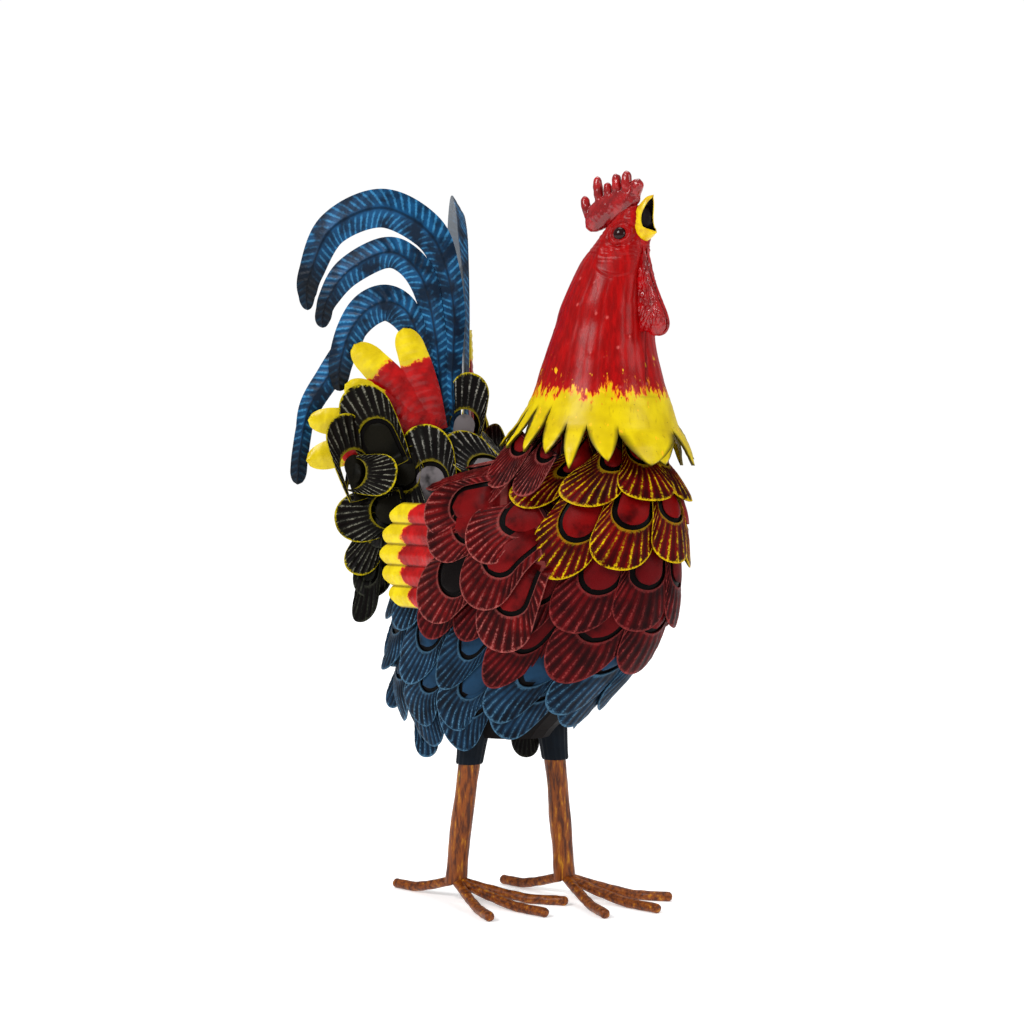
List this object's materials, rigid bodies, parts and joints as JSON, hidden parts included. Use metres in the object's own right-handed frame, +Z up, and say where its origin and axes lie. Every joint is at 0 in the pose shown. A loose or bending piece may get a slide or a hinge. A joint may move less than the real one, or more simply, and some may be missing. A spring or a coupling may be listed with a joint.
{
  "type": "rooster statue",
  "caption": "Standing sheet-metal rooster statue with raised head, open beak, layered feather plates and arched tail blades, resting on rod toes",
  "frame": {"origin": "on the ground, under the middle of the statue's bounding box", "axes": "+X is where the rooster faces, +Y is its left, +Z is up"},
  "size_m": [0.2969, 0.166, 0.5199],
  "materials": {
    "body_black": "brushed paint",
    "coat_yellow_red": "brushed paint",
    "coat_red": "brushed paint",
    "coat_blue": "brushed paint",
    "neck_red": "gloss paint",
    "comb_red": "gloss paint",
    "beak_yellow": "brushed paint",
    "eye_dark": "gloss",
    "sickle_blue": "brushed paint",
    "tail_fan_red": "brushed paint",
    "rump_black": "brushed paint",
    "wing_red": "brushed paint",
    "wing_tip_red": "brushed paint",
    "leg_orange": "brushed paint"
  },
  "bodies": {
    "root": {"beak_lower": "beak_yellow", "beak_upper": "beak_yellow", "body_shell": "body_black", "coat_row_1": "coat_yellow_red", "coat_row_2": "coat_yellow_red", "coat_row_3": "coat_red", "coat_row_4": "coat_red", "coat_row_5": "coat_blue", "coat_row_6": "coat_blue", "comb": "comb_red", "eye_left": "eye_dark", "eye_right": "eye_dark", "leg_left": "leg_orange", "leg_right": "leg_orange", "neck_and_head": "neck_red", "rump_collar": "rump_black", "rump_fan_left": "rump_black", "rump_fan_right": "rump_black", "sickle_1_left": "sickle_blue", "sickle_1_right": "sickle_blue", "sickle_2_left": "sickle_blue", "sickle_2_right": "sickle_blue", "sickle_3_left": "sickle_blue", "sickle_3_right": "sickle_blue", "sickle_4_left": "sickle_blue", "sickle_4_right": "sickle_blue", "tail_fan_left": "tail_fan_red", "tail_fan_right": "tail_fan_red", "toe_hind_left": "leg_orange", "toe_hind_right": "leg_orange", "toe_inner_left": "leg_orange", "toe_inner_right": "leg_orange", "toe_middle_left": "leg_orange", "toe_middle_right": "leg_orange", "toe_outer_left": "leg_orange", "toe_outer_right": "leg_orange", "wattle_left": "comb_red", "wattle_right": "comb_red", "wing_lower_left": "wing_red", "wing_lower_right": "wing_red", "wing_tip_left": "wing_tip_red", "wing_tip_right": "wing_tip_red", "wing_upper_left": "wing_red", "wing_upper_right": "wing_red"}
  },
  "joints": []
}
